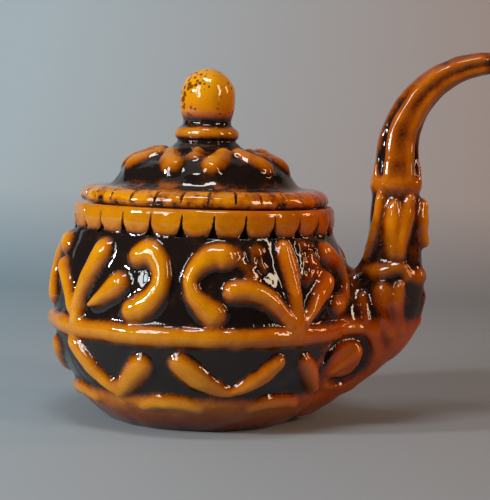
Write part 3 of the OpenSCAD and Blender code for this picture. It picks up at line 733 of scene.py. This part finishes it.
def lid_profile():
    """Radius and height of the lid's outside, from its flat foot up to the top of the knob."""
    edge = [(0, LID_Z), (57.6, LID_Z), (59.2, LID_Z + 0.5), (60.0, LID_Z + 1.9), (59.9, LID_Z + 3.4),
            (59.0, 109.2), (57.2, 110.6), (54.8, 111.4), (52.0, 111.7), (49.4, 111.5), (47.4, 111.8),
            (45.0, 112.9)]
    dome = [(r, DOME_Z + dome_rise(r)) for r in (*DOME_STEPS, 18.2)]
    collar = [(16.6, 131.0), (15.9, 131.8), (15.5, 132.6), (13.4, 133.4), (13.3, 134.1), (15.2, 134.9),
              (15.9, 136.6), (15.6, 138.6), (14.4, 140.0), (12.4, 140.8), (11.6, 141.6), (11.6, 143.4)]
    knob = [(12.2, 145), (12.9, 147.4), (KNOB_R, 150), (KNOB_R, 155.4)]
    for degrees in (12, 25, 38, 50, 62, 74, 84):
        a = math.radians(degrees)
        knob.append((KNOB_R * math.cos(a), KNOB_Z + KNOB_R * math.sin(a)))
    return edge + dome + collar + knob + [(0, KNOB_Z + KNOB_R)]


def lid_hollow():
    return [(0, 127.3), (10, 126.9), (18, 125.3), (25, 122.9), (31, 119.7), (36, 115.5), (38.5, 112.1),
            (46.8, 107.9), (46.8, 100), (0, 100)]


def plain_lid_profile():
    """The plain ground under the lid's relief: its dome, with edge, collar and knob drawn in."""
    edge = [(0, 104.8), (54, 104.8), (55.4, 105.4), (55.6, 107), (54.6, 107.6), (52.0, 108.4), (49, 109.4),
            (44, 112.6)]
    dome = [(r, DOME_Z + dome_rise(r)) for r in (*DOME_STEPS, 17.6)]
    knob = [(15.0, 132.2), (14.6, 134.6), (12.6, 135.4), (12.4, 140), (12.2, 141), (12.0, 143.6),
            (9, 146.4), (8, 158), (0, 160)]
    return edge + dome + knob


def lid_relief():
    """Pairs of leaves round the dome, with a drop between one pair and the next."""
    pairs, first = 5, -58
    leaf = ((8.5, 27.0, 3.4), (13, 30.4, 4.7), (17.5, 33.8, 5.6), (21, 36.6, 5.5))
    drop = ((23.5, 2.4), (27.0, 4.0), (30.0, 4.2))
    rolls = []
    for i in range(pairs):
        middle = first + 360 / pairs * i
        for side in (-1, 1):
            rolls.append(laid(on_lid, [(middle + side * turn, r, half) for turn, r, half in leaf], 3.4))
        rolls.append(laid(on_lid, [(middle + 180 / pairs, r, half) for r, half in drop], 2.6))
    return rolls


def lid_notches():
    """Thin nicks over the rounded edge of the lid, each on a slight slant."""
    count, first = 30, -82.4
    rows = [(50.6, 112.6, 51.4, 115, 0.2, 1.8), (53.8, 109.8, 55.6, 115, 0.6, 1.0),
            (56.6, 108.6, 61, 113.6, 0.75, 0.4), (57.8, 107.2, 63.5, 108.6, 0.6, 0.0),
            (59.6, 105.8, 63.5, 105.6, 0.25, -0.2)]
    return knife_cuts("notches", [(first + 360 / count * i, rows) for i in range(count)])


def make_lid():
    """The lid and its knob in one skin, and the plain ground under its relief."""
    lid = joined("lid", [thrown("lid_wall", lid_profile()), coil("lid_relief", lid_relief())])
    luted(lid)
    notches = lid_notches()
    hollow = thrown("hollow", lid_hollow())
    under_lid = slab("under_lid", 80, LID_Z - 8, LID_Z)
    for cutter in (notches, under_lid, hollow):
        cut_away(lid, cutter)
    sponged(lid, 1)
    discard(hollow, notches, under_lid)
    return lid, thrown("lid_ground", plain_lid_profile())


# ---------------------------------------------------------------- glazes


class Recipe:
    """The nodes of one material, with short ways to add more. Patterns read Object coordinates."""

    def __init__(self, name, **finish):
        self.material = bpy.data.materials.new(name)
        self.material.use_nodes = True
        self.nodes = self.material.node_tree.nodes
        self.links = self.material.node_tree.links
        self.shader = self.nodes["Principled BSDF"]
        for socket, value in finish.items():
            self.shader.inputs[socket.replace("_", " ")].default_value = value
        self.place = self.add("TexCoord", {}).outputs["Object"]

    def feed(self, socket, value):
        """Sets a socket to a number or a colour, or links the output of another node to it."""
        if isinstance(value, tuple):
            socket.default_value = (*value, 1)
        elif isinstance(value, (int, float)):
            socket.default_value = value
        else:
            self.links.new(value, socket)

    def add(self, kind, inputs, **settings):
        node = self.nodes.new("ShaderNode" + kind)
        for key, setting in settings.items():
            setattr(node, key, setting)
        for key, value in inputs.items():
            self.feed(node.inputs[key], value)
        return node

    def paint(self, socket, value):
        self.feed(self.shader.inputs[socket], value)

    def axis(self, letter):
        """How far a place lies along one axis, in metres."""
        return self.add("SeparateXYZ", {"Vector": self.place}).outputs[letter]

    def maths(self, kind, *values):
        return self.add("Math", dict(enumerate(values)), operation=kind).outputs[0]

    def reach(self, value, start, end, low=0.0, high=1.0):
        """Runs from low to high while the value runs from start to end."""
        ends = {"Value": value, "From Min": start, "From Max": end, "To Min": low, "To Max": high}
        return self.add("MapRange", ends).outputs[0]

    def cloud(self, scale, detail=3.0, rough=0.5):
        """Soft noise between 0 and 1."""
        return self.add("TexNoise", {"Vector": self.place, "Scale": scale, "Detail": detail,
                                     "Roughness": rough}).outputs["Fac"]

    def strayed(self, value, scale, spread):
        """A value that strays by half the spread to either side, in soft clouds."""
        return self.maths("ADD", value, self.maths("MULTIPLY_ADD", self.cloud(scale), spread, -spread / 2))

    def blend(self, share, a, b):
        return self.add("Mix", {"Factor": share, "A": a, "B": b}, data_type="RGBA").outputs["Result"]

    def ramp(self, value, stops):
        node = self.add("ValToRGB", {"Fac": value})
        while len(node.color_ramp.elements) < len(stops):
            node.color_ramp.elements.new(0.5)
        for element, (at, colour) in zip(node.color_ramp.elements, stops):
            element.position = at
            element.color = (*colour, 1)
        return node.outputs["Color"]


# colour from pooled glaze to the thinnest
HONEY = ((0.0, (0.010, 0.006, 0.005)), (0.07, (0.020, 0.009, 0.005)), (0.15, (0.09, 0.018, 0.002)),
         (0.30, (0.24, 0.056, 0.002)), (0.55, (0.42, 0.126, 0.002)), (0.80, (0.53, 0.192, 0.002)),
         (1.0, (0.62, 0.260, 0.003)))
RUSSET = ((0.0, (0.012, 0.006, 0.005)), (0.07, (0.022, 0.008, 0.004)), (0.15, (0.08, 0.012, 0.001)),
          (0.30, (0.23, 0.028, 0.001)), (0.55, (0.38, 0.056, 0.001)), (0.80, (0.48, 0.084, 0.001)),
          (1.0, (0.57, 0.118, 0.002)))
# the dark that the glaze turns towards the foot
FOOT_DARK = (0.035, 0.012, 0.006)
IRON = (0.10, 0.024, 0.003)
GLAZE_DEPTH = 4.3                        # relief that takes the glaze from pooled to thinnest, in mm


def glaze_height(recipe):
    """The relief, with a border that wanders and breaks up in small flecks."""
    relief = recipe.add("Attribute", {}, attribute_name="relief").outputs["Fac"]
    wander = recipe.maths("MULTIPLY_ADD", recipe.cloud(130, 4.0, 0.6), 1.8, -0.9)
    flecks = recipe.maths("MULTIPLY_ADD", recipe.cloud(900, 2.0), 0.9, -0.45)
    return recipe.maths("ADD", recipe.maths("ADD", relief, wander), flecks)


def mottled_edge(recipe, height, strength):
    """Dark pools on the lid's edge, and a red lower lip."""
    z = recipe.axis("Z")
    pools = recipe.reach(recipe.cloud(170, 4.0, 0.6), 0.44, 0.66, 0.0, strength)
    edge = recipe.reach(z, 0.1145, 0.1125)
    height = recipe.maths("SUBTRACT", height, recipe.maths("MULTIPLY", pools, edge))
    lip = recipe.reach(recipe.strayed(z, 110, 0.005), 0.1076, 0.1054, 0.0, 2.3)
    return recipe.maths("SUBTRACT", height, lip)


def share_of_russet(recipe):
    """Honey on the left, russet by the spout and on the base; the upper spout is mostly honey again. The
    turn to russet on the right is partly the glaze's own colour and partly painted warm light from the
    right.
    """
    x, z = recipe.axis("X"), recipe.axis("Z")
    # partly painted light: the turn from honey to russet towards the right also stands for the warm lamp on
    # that side
    across = recipe.reach(recipe.strayed(x, 40, 0.06), 0.010, 0.068)
    upper_spout = recipe.maths("MULTIPLY", recipe.reach(x, 0.066, 0.076), recipe.reach(z, 0.056, 0.070))
    across = recipe.maths("MULTIPLY", across, recipe.maths("MULTIPLY_ADD", upper_spout, -0.62, 1.0))
    down = recipe.reach(z, 0.0145, 0.006)
    return recipe.maths("MAXIMUM", across, down)


def darker_foot(recipe, colour):
    """Darker towards the foot, less so on the right."""
    foot = recipe.reach(recipe.strayed(recipe.axis("Z"), 60, 0.008), 0.001, 0.015, 0.85, 0.0)
    fainter = recipe.reach(recipe.axis("X"), 0.0, 0.045, 1.0, 0.55)
    return recipe.blend(recipe.maths("MULTIPLY", foot, fainter), colour, FOOT_DARK)


def iron_specks(recipe, colour, strength):
    """Specks of iron, thickest on the left where they run together."""
    dots = recipe.add("TexVoronoi", {"Vector": recipe.place, "Scale": 420}).outputs["Distance"]
    left = recipe.reach(recipe.axis("X"), 0.003, -0.013, 0.0, 0.36)
    size = recipe.maths("ADD", recipe.reach(recipe.cloud(110, 2.0), 0.42, 0.66, 0.02, 0.44), left)
    spot = recipe.maths("MULTIPLY", recipe.maths("SUBTRACT", size, dots), 7.0)
    spot = recipe.maths("MAXIMUM", recipe.maths("MINIMUM", spot, 1.0), 0.0)
    return recipe.blend(recipe.maths("MULTIPLY", spot, strength), colour, IRON)


def uneven_skin(recipe):
    """The skin of the glaze is never quite flat."""
    ripple = recipe.maths("MULTIPLY", recipe.cloud(420, 1.0), 0.12)
    waves = recipe.maths("MULTIPLY_ADD", recipe.cloud(95, 2.0), 1.0, ripple)
    return recipe.add("Bump", {"Strength": 0.35, "Distance": 0.0008, "Height": waves}).outputs["Normal"]


def glaze(name, pooled=0.15, speckle=0.0, mottle=0.0):
    """A deep glossy glaze: near black up to the pooled height, amber where the clay stands proud."""
    recipe = Recipe(name, Roughness=0.35, Specular_IOR_Level=0.0, Coat_Weight=1.0, Coat_Roughness=0.035,
                    Coat_IOR=1.53)
    height = glaze_height(recipe)
    if mottle:
        height = mottled_edge(recipe, height, mottle)
    thin = recipe.reach(height, pooled, pooled + GLAZE_DEPTH)
    russet = recipe.ramp(thin, RUSSET)
    colour = recipe.blend(share_of_russet(recipe), recipe.ramp(thin, HONEY), russet)
    colour = darker_foot(recipe, colour)
    if speckle:
        redder_foot = recipe.reach(recipe.axis("Z"), 0.161, 0.146, 0.0, 0.6)
        colour = iron_specks(recipe, recipe.blend(redder_foot, colour, russet), speckle)
    skin = uneven_skin(recipe)
    recipe.paint("Base Color", colour)
    recipe.paint("Coat Normal", skin)
    recipe.paint("Normal", skin)
    return recipe.material


def bare_clay():
    recipe = Recipe("bare clay", Roughness=0.8)
    grain = recipe.cloud(900, 2.0)
    recipe.paint("Base Color", recipe.ramp(grain, ((0.0, (0.30, 0.20, 0.12)), (1.0, (0.48, 0.36, 0.25)))))
    return recipe.material


def paper():
    """Pale paper with painted light: cool on the left and warm on the right for the coloured lamps, and a
    floor painted darker than the wall.
    """
    recipe = Recipe("paper", Roughness=0.9, Specular_IOR_Level=0.1)
    # painted light: a cool tint on the left turning warm on the right, for the coloured lamps on each side
    across = recipe.reach(recipe.axis("X"), -0.30, 0.24)
    wall = recipe.ramp(across, ((0.0, (0.40, 0.49, 0.535)), (0.5, (0.37, 0.385, 0.402)),
                                (1.0, (0.355, 0.298, 0.279))))
    floor = recipe.ramp(across, ((0.0, (0.188, 0.310, 0.390)), (0.5, (0.215, 0.247, 0.270)),
                                 (1.0, (0.160, 0.170, 0.177))))
    # painted shade: the floor is darker than the wall, up to where the sheet curves up
    recipe.paint("Base Color", recipe.blend(recipe.reach(recipe.axis("Z"), -0.02, 0.07), floor, wall))
    return recipe.material


# ---------------------------------------------------------------- the pieces


def dressed(piece, material, body):
    piece.data.materials.clear()
    piece.data.materials.append(material)
    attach(piece, body)


relief_glaze = glaze("relief glaze")
lid_glaze = glaze("mottled glaze", mottle=2.6)
knob_glaze = glaze("speckled glaze", pooled=0.2, speckle=0.9)
clay = bare_clay()

pot, pot_ground = make_pot()
spout = sliced(pot, "spout_upper", 112.9)
upper_wall = sliced(pot, "pot_upper", 52.5)
lid, lid_ground = make_lid()
knob = sliced(lid, "lid_knob_glazed", 141.4)
for piece in (pot, spout, upper_wall):
    note_relief(piece, pot_ground)
for piece in (lid, knob):
    note_relief(piece, lid_ground)
discard(pot_ground, lid_ground)
pot.name = "pot_lower"
lid.name = "lid_glazed"

dressed(pot, relief_glaze, "pot")
dressed(upper_wall, relief_glaze, "pot")
dressed(spout, relief_glaze, "pot")
dressed(lid, lid_glaze, "lid")
dressed(knob, knob_glaze, "lid")
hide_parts("foot_ring", "base_band", "base_mounds", "girdle_band", "swag_sprigs", "shank_heel")
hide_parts("bowl", "rim_band", "scroll_sprigs", "fleur_sprigs", "side_leaf_sprigs",
            "spout_shank", "shank_petals", "spout_lower_collar", "spout_neck", "neck_petals")
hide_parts("spout_upper_collar", "spout_stem")
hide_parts("lid_dome", "lid_rim_band", "lid_leaf_sprigs", "lid_drop_sprigs", "lid_collar")
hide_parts("lid_knob")
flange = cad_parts["lid_flange"]
for material_slot in flange.material_slots:
    material_slot.material = clay


# ---------------------------------------------------------------- table, light and camera, in metres


def backdrop_sweep():
    """One sheet of paper: flat under the pot, curved up behind it."""
    front, back, bend, top, half = -0.42, 0.55, 0.5, 2.2, 1.2
    run = [(front, 0.0), (back, 0.0)]
    for degrees in range(6, 91, 6):
        a = math.radians(degrees)
        run.append((back + bend * math.sin(a), bend - bend * math.cos(a)))
    run.append((back + bend, top))
    mesh = bpy.data.meshes.new("paper")
    mesh.from_pydata([(x, y, z) for y, z in run for x in (-half, half)], [],
                     [(i, i + 1, i + 3, i + 2) for i in range(0, 2 * len(run) - 2, 2)])
    sheet = put("paper", mesh)
    sheet.data.materials.append(paper())
    polished(sheet, 60)


def lamp(name, place, aim, size, power, colour):
    """A rectangular lamp: size is its width and height, power in watts."""
    light = bpy.data.lights.new(name, "AREA")
    light.shape = "RECTANGLE"
    light.size, light.size_y = size
    light.energy = power
    light.color = colour
    thing = put(name, light)
    thing.location = place
    thing.rotation_euler = (Vector(aim) - Vector(place)).to_track_quat("-Z", "Y").to_euler()


def room():
    """Faint light from all round, fainter still in reflections."""
    world = bpy.data.worlds.new("room")
    bpy.context.scene.world = world
    world.use_nodes = True
    nodes, links = world.node_tree.nodes, world.node_tree.links
    walls = nodes["Background"]
    walls.inputs["Color"].default_value = (0.66, 0.60, 0.57, 1)
    ray = nodes.new("ShaderNodeLightPath")
    dim = nodes.new("ShaderNodeMapRange")
    dim.inputs["To Min"].default_value = 0.10
    dim.inputs["To Max"].default_value = 0.03
    links.new(ray.outputs["Is Glossy Ray"], dim.inputs["Value"])
    links.new(dim.outputs[0], walls.inputs["Strength"])


def camera():
    """A long lens, a little above the rim and a little to the right, tilted down and rolled."""
    azimuth, distance, height = math.radians(6.0), 0.765, 0.143
    heading = azimuth - math.radians(1.515)
    pitch, roll = math.radians(4.6), math.radians(1.8)
    image_height, focal_length, sensor = 500, 1577, 36      # the first two in pixels
    place = Vector((distance * math.sin(azimuth), -distance * math.cos(azimuth), height))
    level = math.cos(pitch)
    ahead = Vector((-math.sin(heading) * level, math.cos(heading) * level, -math.sin(pitch)))
    right = Vector((math.cos(heading), math.sin(heading), 0))
    up = right.cross(ahead)
    rolled_right = right * math.cos(roll) + up * math.sin(roll)
    rolled_up = -right * math.sin(roll) + up * math.cos(roll)
    data = bpy.data.cameras.new("camera")
    data.sensor_fit = "VERTICAL"
    data.sensor_height = sensor
    data.lens = focal_length / image_height * sensor
    thing = put("camera", data)
    turn = Matrix((rolled_right, rolled_up, -ahead)).transposed()
    thing.matrix_world = Matrix.Translation(place) @ turn.to_4x4()
    bpy.context.scene.camera = thing


backdrop_sweep()
lamp("window pane left", (-0.94, -0.94, 0.70), (0, 0, 0.07), (0.15, 0.68), 5, (0.95, 0.985, 1.0))
lamp("window pane right", (-0.78, -1.08, 0.70), (0, 0, 0.07), (0.15, 0.68), 5, (0.95, 0.985, 1.0))
lamp("lamp left", (-1.20, -0.72, 0.50), (0, 0, 0.07), (0.13, 0.13), 17, (0.95, 0.98, 1.0))
lamp("window right", (1.12, -0.60, 0.66), (0, 0, 0.08), (0.18, 0.75), 6, (1.0, 0.76, 0.54))
lamp("window above", (-0.05, -0.45, 1.45), (0, 0, 0.05), (0.55, 0.22), 6, (0.96, 0.99, 1.0))
lamp("soft sky", (-0.4, 0.1, 1.9), (0, 0.1, 0), (1.8, 1.8), 3.2, (1.0, 0.89, 0.80))
lamp("lamp behind right", (1.05, 0.22, 0.50), (0.2, 0.0, 0.04), (0.16, 0.40), 3.2, (1.0, 0.42, 0.20))
room()
bpy.context.scene.view_settings.view_transform = "Standard"
camera()
